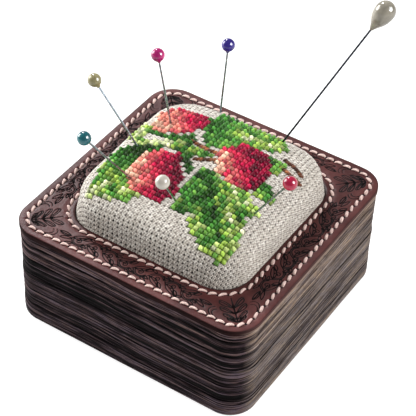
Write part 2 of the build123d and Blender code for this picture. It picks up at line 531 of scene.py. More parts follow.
def spiral(centre, radius, start, turns, steps=30):
    """Points along a scroll that winds in to its centre."""
    share = np.linspace(0, 1, steps)
    angle = math.radians(start) + share * turns * 2 * math.pi
    reach = radius * (1 - 0.84 * share)
    return np.column_stack([centre[0] + reach * np.cos(angle), centre[1] + reach * np.sin(angle)])


def span_of(base, tip):
    """Two points as arrays, the run between them and the direction across it."""
    base, tip = np.array(base, dtype=float), np.array(tip, dtype=float)
    run = tip - base
    return base, tip, run, np.array([-run[1], run[0]]) / np.linalg.norm(run)


def leaf(base, tip, belly, vein=True):
    """A pointed leaf: its two edges, and an inner line beside one of them."""
    base, tip, run, across = span_of(base, tip)
    edges = []
    for bulge in (belly, -belly * 0.6, belly * 0.3)[: 3 if vein else 2]:
        first = base + run * 0.3 + across * bulge * 1.25
        second = base + run * 0.75 + across * bulge * 0.9
        edges.append(bezier([base, first, second, tip]))
    return edges


def petal(base, tip, belly):
    """A round-tipped petal that curls over, with an inner line that follows it."""
    base, tip, run, across = span_of(base, tip)
    outer = bezier([base, base + run * 0.7 - across * belly * 1.6, tip + run * 0.18 - across * belly, tip])
    inner = bezier([tip, tip - run * 0.1 + across * belly * 1.3, base + run * 0.45 + across * belly, base])
    fold = bezier([tip, tip - run * 0.3 - across * belly * 0.5, base + run * 0.5, base + run * 0.25])
    return [outer, inner, fold]


def corner_strokes():
    """Half of the palmette on a corner's diagonal: X runs out along it and Y away from it, in mm."""
    strokes = [
        bezier([(-5.0, 0.0), (-2.0, 0.1), (1.5, 0.1), (4.2, 0.0)]),
        bezier([(-2.6, 4.9), (-3.2, 7.6), (0.4, 7.8), (1.9, 5.2)]),
        bezier([(-1.6, 4.6), (-2.0, 6.6), (0.4, 6.8), (1.9, 5.2)]),
    ]
    for base, tip, belly in (
        (4.2, (2.4, 2.6), -0.45),
        (3.2, (0.6, 3.3), -0.6),
        (1.0, (-1.9, 3.7), -0.7),
        (-1.2, (-4.3, 3.4), -0.8),
    ):
        strokes += petal((base, 0.1), tip, belly)
    strokes += leaf((-3.4, 5.6), (-6.2, 8.4), -0.9)
    return strokes + leaf((-2.9, 8.0), (-6.1, 9.6), 0.7, vein=False)


def scroll_strokes(flip):
    """One wave of leafy vine: X runs along the side and Y across the band, in mm."""
    half_pitch = SCROLL_PITCH / MM / 2
    wave = [
        bezier([(0.0, 0.0), (1.3, 2.7), (3.7, 2.7), (half_pitch, 0.0)]),
        bezier([(0.6, 0.0), (1.6, 2.0), (3.3, 2.0), (4.4, 0.5)]),
        spiral((2.5, 0.2), 0.95, 250, 1.2, 20),
        *leaf((0.2, -0.2), (4.4, -2.5), 1.25),
    ]
    for base, tip, belly in (
        ((3.3, -0.9), (5.3, -2.5), 0.7),
        ((1.5, 1.8), (-0.8, 2.6), -0.6),
        ((3.5, 1.8), (5.6, 2.6), 0.6),
        ((4.1, 0.9), (5.9, 1.5), 0.5),
    ):
        wave += leaf(base, tip, belly, vein=False)
    first = [stroke * (1, flip) - (half_pitch, 0) for stroke in wave]
    return first + [stroke * (1, -flip) for stroke in wave]


def tooled_strokes():
    """Every stroke of the tooling, in metres, on all four sides."""
    middle = sum(ORNAMENT_BAND) / 2
    slant = np.array([[1, 1], [-1, 1]]) / math.sqrt(2)
    strokes = []
    for quarter in range(4):
        turn = quarter * math.pi / 2
        spin = np.array([[math.cos(turn), math.sin(turn)], [-math.sin(turn), math.cos(turn)]])
        for side in (1, -1):
            for stroke in corner_strokes():
                local = stroke * (1, side) * MM + (PALMETTE_REACH, 0)
                strokes.append(local @ slant @ spin)
        for index in range(SCROLLS):
            along = (index - (SCROLLS - 1) / 2) * SCROLL_PITCH
            for stroke in scroll_strokes(1 if (index + quarter) % 2 else -1):
                local = stroke * MM + (along, 0)
                strokes.append(np.column_stack([local[:, 0], local[:, 1] - middle]) @ spin)
    return strokes


def stroke_gap(points, strokes, width):
    """How far each point lies from the nearest stroke, up to four widths away."""
    nearest = np.full(len(points), 4 * width)
    for stroke in strokes:
        low = stroke.min(axis=0) - 4 * width
        high = stroke.max(axis=0) + 4 * width
        near = np.flatnonzero(((points > low) & (points < high)).all(axis=1))
        if not len(near):
            continue
        local = points[near]
        for start, end in zip(stroke[:-1], stroke[1:]):
            run = end - start
            share = np.clip((local - start) @ run / max(run @ run, 1e-12), 0, 1)
            gap = np.linalg.norm(local - start - share[:, None] * run, axis=1)
            nearest[near] = np.minimum(nearest[near], gap)
    return nearest


def row_places(half, corner, count):
    """Evenly spaced points and their directions along a row of stitches."""
    flat = half - corner
    quarter = 2 * flat + corner * math.pi / 2
    places = []
    for index in range(count):
        length = (index + 0.5) / count * 4 * quarter
        turn = int(length // quarter) * math.pi / 2
        rest = length % quarter
        out = np.array([math.cos(turn), math.sin(turn)])
        along = np.array([-math.sin(turn), math.cos(turn)])
        if rest < 2 * flat:
            places.append((out * half + along * (rest - flat), along))
        else:
            angle = turn + (rest - 2 * flat) / corner
            direction = np.array([math.cos(angle), math.sin(angle)])
            tangent = np.array([-math.sin(angle), math.cos(angle)])
            places.append(((out + along) * flat + corner * direction, tangent))
    return places


def hole_depth(points, row, radius):
    """How deep in a stitching hole each point lies, from 0 to 1."""
    half, corner, count = row
    places = row_places(half, corner, count)
    pitch = (4 * (2 * (half - corner) + corner * math.pi / 2)) / count
    depth = np.zeros(len(points))
    for place, tangent in places:
        hole = place + tangent * pitch / 2
        near = np.flatnonzero(np.abs(points - hole).max(axis=1) < 3 * radius)
        gap = np.linalg.norm(points[near] - hole, axis=1)
        depth[near] = np.maximum(depth[near], bell(gap, radius))
    return depth


def leather_material(name, edge_tone=None):
    """Dark brown leather, black in the tooling, with painted shade in the stitching holes, next to the
    cushion and along the outer edge at left and right; a cut edge is plain, and painted black as shade at
    front and back.
    """
    hide = Nodes(name)
    place = hide.place()
    pores = hide.add(
        "ShaderNodeTexVoronoi", "Distance", {"feature": "DISTANCE_TO_EDGE"}, Vector=place, Scale=2600.0
    )
    fine = hide.noise(place, 1500.0, 3.0, 0.6)
    tone = hide.ramp(
        hide.noise(place, 90.0, 4.0, 0.6),
        (0.32, linear(58, 26, 26)),
        (0.5, linear(74, 36, 35)),
        (0.68, linear(90, 49, 47)),
    )
    if edge_tone:
        # Painted shade: the cut edge turns near-black where it faces front or back.
        facing_front_back = hide.span(hide.facing("Y"), 0.0, 1.0, 0.2, 0.75)
        tone = hide.mix(0.85, tone, hide.mix(facing_front_back, linear(*edge_tone), linear(4, 2, 2)))
        hide.set(Roughness=hide.span(fine, 0.6, 0.8))
    else:
        line_gap = hide.stored("line_gap") - hide.noise(place, 240.0, 2.0) * 0.12
        groove = hide.span(line_gap, 1.0, 0.0, 0.07, 0.13)
        # The tooled lines are black; the stitching holes are painted black as shade.
        cut = hide.math("MAXIMUM", groove, hide.span(hide.stored("hole"), 0.0, 1.0, 0.15, 0.6))
        # Painted shadow: a darker band on the leather next to the cushion.
        tone = hide.mix(hide.stored("rim") * 0.6, tone, linear(54, 27, 26))
        matted = hide.stored("band") * hide.span(hide.noise(place, 160.0, 3.0), 0.0, 0.25, 0.35, 0.6)
        tone = hide.mix(matted, tone, linear(40, 17, 16))
        tone = hide.mix(cut, tone, linear(4, 2, 3))
        # Painted shade: near-black at the lip by the cushion and along the rolled outer edge at left and
        # right.
        tone = hide.mix(hide.stored("painted_edge_shade"), tone, linear(10, 6, 6))
        hide.set(Roughness=hide.span(fine, 0.32, 0.50) + cut * 0.5)
    hide.set(Base_Color=tone, Specular_IOR_Level=0.04 if edge_tone else 0.18)
    hide.bump(pores * 0.5 + fine, 0.10 * MM, 0.5)
    return hide.material


def tool_mark_material():
    """The dull black bottom of a tooled line."""
    mark = Nodes("tooled line")
    wear_and_shade = mark.noise(mark.place(), 900.0, 3.0, 0.7)
    mark.set(Base_Color=mark.mix(wear_and_shade, linear(3, 1, 2), linear(16, 8, 8)), Roughness=0.9)
    mark.set(Specular_IOR_Level=0.03)
    mark.bump(wear_and_shade, 0.05 * MM, 0.5)
    return mark.material


def leather_rows():
    """Half-size and corner radius of each line of points across the top, from outside to inside."""
    knots = np.array([WINDOW[0], INNER_ROW[0], ORNAMENT_BAND[0], ORNAMENT_BAND[1], LEATHER_HALF])
    corners = np.array([WINDOW[1], INNER_ROW[1], 10.0 * MM, 5.6 * MM, CORNER])
    steps = [
        np.arange(LEATHER_HALF - 0.10 * MM, ORNAMENT_BAND[1], -0.34 * MM),
        np.arange(ORNAMENT_BAND[1], ORNAMENT_BAND[0], -0.155 * MM),
        np.arange(ORNAMENT_BAND[0], WINDOW[0] + 0.15 * MM, -0.34 * MM),
    ]
    halves = np.concatenate(steps)
    return halves, np.interp(halves, knots, corners)


def side_rings(outline, inward, rows):
    """Rings down one side of the ply; each row is how far in it stands and how high, in mm."""
    rings = []
    for inset, height in rows:
        level = np.full(len(outline), LEATHER_TOP + height * MM)
        rings.append(np.column_stack([outline + inward * inset * MM, level]))
    return rings


def leather_height(top, line, line_gap, holes):
    """How high each point of the top stands, with the tooling, channels and rolled edges cut in."""
    channel = np.maximum(*(bell(line - row[0], 0.6 * MM) for row in (OUTER_ROW, INNER_ROW)))
    flat = np.column_stack([top, np.zeros(len(top))])
    swell = smooth_noise(flat, 9 * MM, 11) * 0.03 * MM + smooth_noise(flat, 2.2 * MM, 12) * 0.008 * MM
    z = LEATHER_TOP + 0.02 * MM + swell
    z -= bell(line_gap, 0.15 * MM) * 0.10 * MM + holes * 0.34 * MM + channel * 0.09 * MM
    z += inside_band(line) * 0.03 * MM
    outer_roll = fall(LEATHER_HALF - line, 0.45 * MM)
    lip_roll = fall(line - WINDOW[0], 0.9 * MM)
    return z - (0.06 * MM * outer_roll**2 + 0.10 * MM * lip_roll**2)


def inside_band(line):
    """1 in the ornament's band, fading out over half a millimetre at its borders."""
    low, high = ORNAMENT_BAND
    return fall(low + 0.5 * MM - line, 0.5 * MM) * fall(line - high + 0.5 * MM, 0.5 * MM)


def make_leather():
    """The frame's top ply: rings across the top between those down its outer and inner edges."""
    halves, corners = leather_rows()
    steps = 325, 66
    top = np.concatenate([rounded_square(*size, *steps)[0] for size in zip(halves, corners)])
    outer, outward = rounded_square(LEATHER_HALF, CORNER, *steps)
    inner, inner_out = rounded_square(*WINDOW, *steps)
    count = len(outer)
    line = np.repeat(halves, count)
    line_gap = stroke_gap(top, tooled_strokes(), 0.15 * MM)
    holes = np.maximum(*(hole_depth(top, row, 0.36 * MM) for row in (OUTER_ROW, INNER_ROW)))
    z = leather_height(top, line, line_gap, holes)
    groove_between_plies = (0.16, -0.64), (0.16, -0.54)
    outside = (0.0, -1.0), (0.0, -0.74), *groove_between_plies, (0.0, -0.44), (0.0, -0.12)
    before = side_rings(outer, -outward, outside)
    after = side_rings(inner, inner_out, ((0.02, -0.24), (0.0, -0.5), (0.0, -1.0)))
    points = np.concatenate([*before, np.column_stack([top, z]), *after])
    quads = loop_quads(len(before) + len(halves) + len(after), count, closed_rings=True)
    piece = make_piece("leather_top", points, quads, leather_material("tooled leather"))
    piece.data.materials.append(leather_material("leather edge", (62, 44, 42)))
    piece.data.materials.append(tool_mark_material())
    outer_roll = fall(LEATHER_HALF - line, 0.45 * MM)
    sideways = np.tile(np.abs(outward[:, 0]), len(halves))
    beyond = count * len(before), count * len(after)
    for name, values, at_edges in (
        ("line_gap", line_gap / MM, 1.0),
        # painted shade at the window's lip and at the left and right outer edges
        ("painted_edge_shade", np.maximum(fall(line - WINDOW[0], 0.7 * MM), outer_roll * sideways * 0.8), 1.0),
        ("hole", holes, 0.0),
        ("band", inside_band(line), 0.0),
        # painted shadow in a band next to the cushion
        ("rim", fall(line - WINDOW[0] - 1.1 * MM, 0.4 * MM), 0.0),
    ):
        point_values(piece, name, np.pad(values, beyond, constant_values=at_edges))
    gaps = np.pad(line_gap / MM, beyond, constant_values=1.0)
    kinds = np.where(gaps[quads].max(axis=1) < 0.16, 2, 0)
    kinds[: beyond[0]] = 1
    piece.data.polygons.foreach_set("material_index", kinds.astype(np.int32))
    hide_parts("leather_frame")


# ---- stitching ----


def thread_material(name, light, dark):
    """Waxed twisted thread: plies wind round each stitch, with painted shade in the grooves between them."""
    thread = Nodes(name)
    twist = thread.wave(thread.uv("strand", "X") * 9.0 + thread.uv("strand", "Y"), 4)
    fuzz = thread.noise(thread.place(), 2500.0, 2.0)
    # Painted shade: the grooves between plies take the dark tone.
    tone = thread.mix(twist, dark, light)
    tone = thread.mix(thread.span(fuzz, 0.0, 0.35, 0.4, 0.7), tone, dark)
    thread.set(Base_Color=tone, Roughness=0.55, Sheen_Weight=0.3)
    thread.bump(twist, 0.05 * MM, 0.7)
    return thread.material


def strand_quads(strands, stations, sides):
    """Faces of many tubes; each tube's ends are closed by folding its end rings flat."""
    block = loop_quads(stations, sides)
    caps = []
    for ring in (0, stations - 1):
        base = ring * sides
        for step in range(sides // 2 - 1):
            quad = [base + step, base + step + 1, base + sides - step - 2, base + sides - step - 1]
            caps.append(quad if ring else quad[::-1])
    block = np.concatenate([block, np.array(caps)])
    offsets = np.arange(strands)[:, None, None] * stations * sides
    return (block[None] + offsets).reshape(-1, 4)


def make_strands(name, material, centres, sideways, upward, widths, heights, sides):
    """Many tubes as one piece; the arrays are strands by stations, and by 3 where they hold places."""
    count, stations = widths.shape
    rings = []
    for side in range(sides):
        angle = 2 * math.pi * side / sides
        across = sideways * (widths * math.cos(angle))[..., None]
        rise = upward * (heights * math.sin(angle))[..., None]
        rings.append(centres + across + rise)
    quads = strand_quads(count, stations, sides)
    piece = make_piece(name, np.stack(rings, axis=2), quads, material)
    along = np.tile(np.repeat(np.linspace(0, 1, stations), sides), count)
    around = np.tile(np.arange(sides) / sides, stations * count)
    point_uvs(piece, "strand", along, around)
    return piece


def make_stitching(name, row, material):
    """A row of separate stitches that dip into their holes at each end."""
    stations = 11
    share = np.linspace(0, 1, stations)
    arch = np.sin(math.pi * share) ** 0.55
    taper = 1.22 - 0.44 * share
    centres, sideways, widths = [], [], []
    for place, tangent in row_places(*row):
        across = np.array([-tangent[1], tangent[0]])
        length = random.uniform(2.2, 2.5) * MM
        slant = random.uniform(0.22, 0.40) * MM
        lift = random.uniform(0.16, 0.24) * MM
        run = (share - 0.5)[:, None]
        flat = place + tangent * run * length + across * run * 2 * slant
        z = LEATHER_TOP - 0.22 * MM + arch * (0.22 * MM + lift)
        centres.append(np.column_stack([flat, z]))
        sideways.append(np.tile([*across, 0.0], (stations, 1)))
        widths.append(random.uniform(0.43, 0.52) * MM * (0.45 + 0.55 * arch) * taper)
    centres, sideways, widths = np.array(centres), np.array(sideways), np.array(widths)
    upward = np.broadcast_to([0.0, 0.0, 1.0], centres.shape)
    heights = np.broadcast_to(0.30 * MM * (0.5 + 0.5 * arch) * taper, widths.shape)
    shape = centres, sideways, upward, widths, heights
    piece = make_strands(f"{name}_thread", material, *shape, sides=10)
    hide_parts(name)


# ---- cushion ----


def past_flat(u, v, flat):
    """How far a point of the flat canvas lies past its straight middle, each way and in all."""
    over_u, over_v = np.maximum(np.abs(u) - flat, 0), np.maximum(np.abs(v) - flat, 0)
    return over_u, over_v, np.hypot(over_u, over_v)


def stretched_canvas(u, v):
    """Where a point of the flat canvas comes to lie on the cushion, before its stuffing swells it."""
    level = CUSHION_CORNER - SHOULDER
    over_u, over_v, reach = past_flat(u, v, CUSHION_FLAT)
    around = np.arctan2(over_v, over_u)
    bend = np.clip((reach - level) / SHOULDER, 0, math.pi / 2)
    out = np.where(reach < level, reach, level + SHOULDER * np.sin(bend))
    drop = np.where(reach < level, 0, SHOULDER * (1 - np.cos(bend)))
    drop = drop + np.maximum(reach - level - SHOULDER * math.pi / 2, 0)
    x = np.sign(u) * (np.minimum(np.abs(u), CUSHION_FLAT) + out * np.cos(around) * (over_u > 0))
    y = np.sign(v) * (np.minimum(np.abs(v), CUSHION_FLAT) + out * np.sin(around) * (over_v > 0))
    dome = np.clip(1 - (x / CUSHION_HALF) ** 2, 0, 1) * np.clip(1 - (y / CUSHION_HALF) ** 2, 0, 1)
    z = SHOULDER_TOP - drop + CROWN * dome
    height = np.clip((z - LEATHER_TOP) / (SHOULDER_TOP - LEATHER_TOP), 0, 1)
    melt = (np.abs(x * y) / CUSHION_HALF**2) ** 4 * height * CORNER_MELT
    pull = 1 - melt / np.maximum(np.hypot(x, y), 1 * MM)
    return np.stack([x * pull, y * pull, z - melt * 0.8], axis=-1)


def surface_normals(points):
    """Outward directions of a grid of points whose first axis is v and second is u."""
    along_u = np.gradient(points, axis=1)
    along_v = np.gradient(points, axis=0)
    normals = np.cross(along_u, along_v)
    return normals / np.maximum(np.linalg.norm(normals, axis=-1, keepdims=True), 1e-12)


def canvas_reach():
    """How far the canvas goes past the straight part before it ends below the leather."""
    side = SHOULDER_TOP - SHOULDER - (LEATHER_TOP - SKIRT)
    return CUSHION_CORNER - SHOULDER + SHOULDER * math.pi / 2 + side


def slack_form(scale):
    """A coarse net of the stretched canvas, drawn in a little at the sides, to be blown up."""
    lines = np.linspace(-1, 1, 61) * (CUSHION_FLAT + canvas_reach())
    u, v = np.meshgrid(lines, lines)
    points = stretched_canvas(u, v)
    points[..., :2] *= 0.985
    _, _, reach = past_flat(u, v, CUSHION_FLAT)
    kept = (reach[:-1, :-1] + reach[1:, 1:]) / 2 < canvas_reach()
    quads = grid_quads(len(lines))[kept]
    form = make_piece("swollen_form", points * scale, quads, bpy.data.materials.new("form"))
    form.parent = None
    return form


def swollen_form():
    """The stuffed cushion by cloth simulation: a slack form is blown up against its held lower edge."""
    scale = 10.0  # cloth settings suit pieces near a metre
    form = slack_form(scale)
    group = form.vertex_groups.new(name="held")
    low = (LEATHER_TOP + 0.8 * MM) * scale
    group.add([vertex.index for vertex in form.data.vertices if vertex.co.z < low], 1.0, "REPLACE")
    cloth = form.modifiers.new("stuffing", "CLOTH")
    cloth.settings.effector_weights.gravity = 0.0
    for name, value in CLOTH_SETTINGS.items():
        setattr(cloth.settings, name, value)
    cloth.point_cache.frame_start = 1
    cloth.point_cache.frame_end = SWELL_FRAMES
    for step in range(SWELL_FRAMES):
        bpy.context.scene.frame_set(step + 1)
    graph = bpy.context.evaluated_depsgraph_get()
    shaped = bpy.data.meshes.new_from_object(form.evaluated_get(graph))
    tree = BVHTree.FromPolygons(
        [vertex.co / scale for vertex in shaped.vertices],
        [tuple(face.vertices) for face in shaped.polygons],
    )
    bpy.context.scene.frame_set(1)
    bpy.data.objects.remove(form)
    bpy.data.meshes.remove(shaped)
    return tree


def swell_onto(points, tree):
    """Moves the stretched canvas out or in to the swollen form, by at most SWELL_LIMIT."""
    normals = surface_normals(points)
    start = 5 * MM
    moved = np.zeros(points.shape[:2])
    for row in range(points.shape[0]):
        for column in range(points.shape[1]):
            place = Vector(points[row, column])
            normal = Vector(normals[row, column])
            hit = tree.ray_cast(place + normal * start, -normal, 2 * start)
            if hit[0] is not None:
                moved[row, column] = start - hit[3]
    moved = np.clip(moved, -SWELL_LIMIT, SWELL_LIMIT)
    moved *= np.clip((points[..., 2] - LEATHER_TOP) / (4 * MM), 0, 1)
    for _ in range(6):
        moved = average(moved)
    return points + normals * moved[..., None]


def average(values):
    """Each value of a grid drawn halfway to the mean of its neighbours."""
    padded = np.pad(values, 1, mode="edge")
    around = padded[:-2, 1:-1] + padded[2:, 1:-1] + padded[1:-1, :-2] + padded[1:-1, 2:]
    return values * 0.5 + around * 0.125


class Canvas:
    """The cushion's smooth surface, sampled at steps of half a cell."""

    def __init__(self):
        self.half = 52  # half cells from the middle to the edge of the grid
        lines = np.arange(-self.half, self.half + 1) * (CELL / 2)
        u, v = np.meshgrid(lines, lines)
        points = stretched_canvas(u, v)
        points = swell_onto(points, swollen_form())
        lumps = smooth_noise(points.reshape(-1, 3), 16 * MM, 21).reshape(u.shape)
        inside = np.clip((points[..., 2] - LEATHER_TOP) / (3 * MM), 0, 1)
        self.points = points + surface_normals(points) * (lumps * inside * 0.16 * MM)[..., None]
        self.normals = surface_normals(self.points)

    def sample(self, grid, u, v):
        """Reads a grid between its points; u and v are in cells."""
        column = np.clip(u * 2 + self.half, 0, 2 * self.half - 1e-6)
        row = np.clip(v * 2 + self.half, 0, 2 * self.half - 1e-6)
        left, low = column.astype(int), row.astype(int)
        right_share, high_share = (column - left)[..., None], (row - low)[..., None]
        lower = grid[low, left] * (1 - right_share) + grid[low, left + 1] * right_share
        upper = grid[low + 1, left] * (1 - right_share) + grid[low + 1, left + 1] * right_share
        return lower * (1 - high_share) + upper * high_share

    def at(self, u, v):
        """Place and outward direction at a point given in cells."""
        normal = self.sample(self.normals, u, v)
        normal /= np.maximum(np.linalg.norm(normal, axis=-1, keepdims=True), 1e-12)
        return self.sample(self.points, u, v), normal


def canvas_material():
    """Counted-thread canvas: twisted warp threads stand over the weft between dark holes; the holes, the
    weave's low parts and the canvas under the stitches are painted shade.
    """
    cloth = Nodes("canvas")
    place = cloth.place()
    across, along = cloth.uv("weave", "X"), cloth.uv("weave", "Y")
    height = cloth.wave(across * 2.0 - along, 2) * 0.6 + cloth.wave(across + along * 2.0, 2) * 0.4
    stray = cloth.span(cloth.noise(place, 900.0, 1.0), -0.14, 0.14)
    over_column = cloth.math("PINGPONG", across + stray, 0.5)
    over_row = cloth.math("PINGPONG", along - stray, 0.5)
    squared = (over_column * 5.0) ** 2.0 + (over_row * 4.4) ** 2.0
    between = ((0.5 - over_column) * 10.0) ** 2.0 + ((0.5 - over_row) * 6.0) ** 2.0
    fuzz = cloth.noise(place, 1800.0, 3.0, 0.7)
    slub = cloth.noise(place, 260.0, 3.0, 0.7)
    strands = cloth.noise(place, 1300.0, 2.0, 0.6)
    slack_and_front_shade = cloth.stored("slack_and_front_shade")
    column_line = cloth.span(over_column, 0.28, 0.0, 0.02, 0.16)
    row_line = cloth.span(over_row, 0.28, 0.0, 0.02, 0.16)
    hole = cloth.span(squared, 1.0, 0.0, 0.7, 1.4) * cloth.span(cloth.stored("hole"), 0.0, 1.0, 0.1, 0.45)
    # Painted shade: the weave's low parts, valleys, grooves and holes are darkened.
    tone = cloth.mix(height, linear(132, 124, 116), linear(226, 221, 212))
    for factor, colour in (
        (cloth.span(strands, 0.5, 0.0, 0.36, 0.52), linear(120, 112, 103)),
        (cloth.span(strands, 0.0, 0.6, 0.54, 0.66), linear(242, 239, 232)),
        (cloth.span(cloth.stored("valley"), 0.0, 0.5, 0.2, 0.8), linear(110, 102, 95)),
        (cloth.span(slub, 0.0, 0.45, 0.42, 0.7), linear(176, 168, 156)),
        # painted shade: dark lines, spots and holes, strongest on shoulders turned front or back
        (slack_and_front_shade * cloth.math("MAXIMUM", column_line, row_line), linear(70, 62, 57)),
        (slack_and_front_shade * cloth.span(between, 0.55, 0.0, 0.2, 1.4), linear(60, 53, 48)),
        (hole * cloth.span(slack_and_front_shade, 0.35, 1.0), linear(16, 13, 12)),
        # painted shade: the canvas between stitches goes dark
        (cloth.stored("sewn"), cloth.stored("stain_and_shade", "Color")),
    ):
        tone = cloth.mix(factor, tone, colour)
    cloth.set(Base_Color=tone, Roughness=0.85, Sheen_Weight=0.1, Specular_IOR_Level=0.2)
    cloth.bump(height + fuzz * 0.7, 0.18 * MM, 0.8)
    return cloth.material


def woven_cells(u, v, cells):
    """How deep each point lies in a hole and how high its thread stands, from 0 to 1, and the relief."""
    corner_u, corner_v = np.round(u), np.round(v)
    at_corner = (corner_v + cells).astype(int), (corner_u + cells).astype(int)
    corners = (2 * cells + 1, 2 * cells + 1)
    openness = noise_source.uniform(0.35, 1.2, corners)[at_corner]
    strayed_u = noise_source.uniform(-0.08, 0.08, corners)[at_corner]
    strayed_v = noise_source.uniform(-0.08, 0.08, corners)[at_corner]
    swell = noise_source.uniform(0.75, 1.2, (2 * cells + 2, 2 * cells + 2))[cell_of(u, v, cells)]
    reach_to_hole = np.hypot(u - corner_u - strayed_u, (v - corner_v - strayed_v) * 0.75)
    hole = bell(reach_to_hole, 0.17) * openness
    over = (np.floor(u) + np.floor(v)) % 2 == 0
    warp = np.sin(np.pi * (u % 1)) ** 0.7 * np.where(over, 1.0, 0.78)
    weft = np.sin(np.pi * (v % 1)) ** 0.7 * np.where(over, 0.72, 1.0)
    thread = np.maximum(warp, weft)
    return hole, thread, 0.20 * MM * thread * swell - 0.26 * MM * hole


def cell_of(u, v, cells):
    """The row and column of the cell that each point lies in."""
    return (np.floor(v) + cells).astype(int), (np.floor(u) + cells).astype(int)


def make_canvas(canvas, sewn_cells):
    """The cushion's cover as a dense mesh: each cell is a small pillow between four holes."""
    per_cell = 6
    cells = math.ceil((CUSHION_FLAT + canvas_reach()) / CELL)
    lines = np.arange(-cells * per_cell, cells * per_cell + 1) / per_cell
    u, v = np.meshgrid(lines, lines)
    place, normal = canvas.at(u, v)
    hole, thread, height = woven_cells(u, v, cells)
    place = place + normal * (height - 0.10 * MM)[..., None]
    _, _, reach = past_flat(u, v, CUSHION_FLAT / CELL)
    kept = np.maximum(reach[:-1, :-1], reach[1:, 1:]) < canvas_reach() / CELL
    used, quads = np.unique(grid_quads(len(lines))[kept], return_inverse=True)
    piece = make_piece("cushion_canvas", place.reshape(-1, 3)[used], quads, canvas_material())
    # Painted shade mask: strong down the shoulders and most on faces turned front or back, partly for slacker
    # cloth there.
    toward_front = np.abs(normal[..., 1]) / (np.abs(normal[..., 0]) + np.abs(normal[..., 1]) + 0.01)
    slack_and_front_shade = np.clip(0.30 + 1.1 * (1 - normal[..., 2]) * (0.15 + 0.85 * toward_front), 0, 1)
    sewn = np.zeros((2 * cells + 2, 2 * cells + 2))
    dye_and_shade = np.zeros((*sewn.shape, 4))
    for column, row, colour in sewn_cells:
        sewn[row + cells, column + cells] = 1.0
        # Painted shade: the canvas under each stitch takes a very dark copy of its thread's colour, for the
        # gaps between stitches.
        dye_and_shade[row + cells, column + cells] = linear(*(0.08 * value for value in colour))
    in_cell = cell_of(u, v, cells)
    stored = {"hole": hole, "valley": 1 - thread, "slack_and_front_shade": slack_and_front_shade, "sewn": sewn[in_cell]}
    for name, values in stored.items():
        point_values(piece, name, values.ravel()[used])
    point_colours(piece, "stain_and_shade", dye_and_shade[in_cell].reshape(-1, 4)[used])
    point_uvs(piece, "weave", u.ravel()[used], v.ravel()[used])
    close_holes(piece)
    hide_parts("canvas_cover")


# ---- embroidery ----

THREADS = {
    "berry": [
        (240, 186, 160), (224, 134, 118), (208, 88, 94), (190, 38, 70), (172, 10, 60), (138, 2, 48),
        (98, 0, 32),
    ],
    "leaf": [
        (26, 60, 8), (40, 92, 24), (62, 124, 44), (100, 152, 62), (146, 178, 74), (176, 197, 116),
        (206, 214, 168),
    ],
}
STEM_THREADS = [(66, 34, 20), (98, 54, 32), (138, 86, 54)]

# Outlines on the canvas, in cells from its middle: X to the right and Y away from the front
RIGHT_BERRY = [
    (1.2, 8.2), (3, 10), (7.5, 10), (9.8, 8), (10.8, 4.5), (10.8, 0), (9, -1.1), (3, -0.2), (0.6, 3), (0.1, 7)
]
LEFT_BERRY = [
    (-9, 0.3), (-4.6, 0.6), (-3.6, -1.5), (-1, -4), (-0.2, -8.6), (-1.2, -12), (-8, -12), (-10.6, -8.5),
    (-11.4, -4),
]
FAR_BERRY = [(-14.2, 12.6), (-7, 13), (-6.2, 11.5), (-6.6, 8), (-9, 5), (-13, 4), (-15.2, 6), (-15.8, 9.4)]
BIG_LEAF = [
    (0.6, 0.7), (3, -0.4), (10, -1), (15.2, -4.4), (13.2, -6.4), (15, -10), (16.3, -15), (15.4, -17.6),
    (11, -17.2), (5, -12.6), (4.4, -11), (4, -12.1), (1.6, -12), (-0.5, -5),
]
LEFT_LEAF = [
    (-16.6, -5), (-14, -1), (-10, 2), (-9, 0.4), (-11.3, -4), (-10.6, -8.5), (-8, -12), (-5, -12.6),
    (-6.4, -15), (-12, -16), (-15, -17.4), (-15.6, -10),
]
FAR_LEAF = [
    (-6.4, 15.4), (-5.6, 16.4), (7.6, 16.4), (9.8, 13.2), (8.6, 12), (6.6, 10.9), (5.4, 9.9), (3, 10),
    (0, 6.6), (-2.6, 5.4), (-4.6, 6.8), (-6.6, 11),
]
TIP_LEAF = [(10.8, 3.6), (12.4, 2.8), (15.8, -0.9), (13, -1.4), (10.8, -0.6)]
HIGH_LEAF = [(6.0, 10.2), (11.6, 10.2), (12.3, 7.3), (11.4, 6.0), (9.7, 6.2), (7.8, 7.9)]
PALE_LEAF = [
    (-14.6, -0.4), (-12.4, 1.4), (-9.5, 2.9), (-6.6, 4.4), (-5.4, 2.3), (-8, 0.8), (-11, 0.2), (-13.4, -1.4)
]
MIDDLE_LEAF = [(-5.4, 3.7), (-1.4, 4.3), (0.2, 3.8), (0.2, 2.8), (-2, 2.4), (-4.6, 2.4)]
SEPALS = [(-9.2, 0.6), (-7, 2.8), (-4, 2.6), (-2.6, 0.4), (-1, -1), (-1.2, -2.8), (-3.4, -1.4), (-4.6, 0.6)]
FAR_SEPALS = [
    (-14, 4.2), (-9, 4.6), (-6.2, 7), (-5.2, 5.2), (-5.4, 3.6), (-1.6, 3.4), (-1.6, 2), (-5, 2.4), (-14, 2.8)
]
SIDE_LEAF = [(-17, 6), (-14.2, 5), (-13.6, 2.4), (-14, -0.6), (-17, 0)]
STEMS = [
    ((-5.8, 5.0), (-2.4, 4.5)), ((-2.4, 4.5), (0.6, 4.7)), ((-2.6, 0.7), (1.0, 2.9)),
    ((10.6, 10.9), (13.2, 10.2)), ((13.2, 10.2), (15.6, 8.9)), ((11.2, 8.6), (13.6, 7.8)),
    ((13.6, 7.8), (16.4, 7.2)),
]
STEM_WIDTH = 0.5  # of a cell, either side of a stem's line


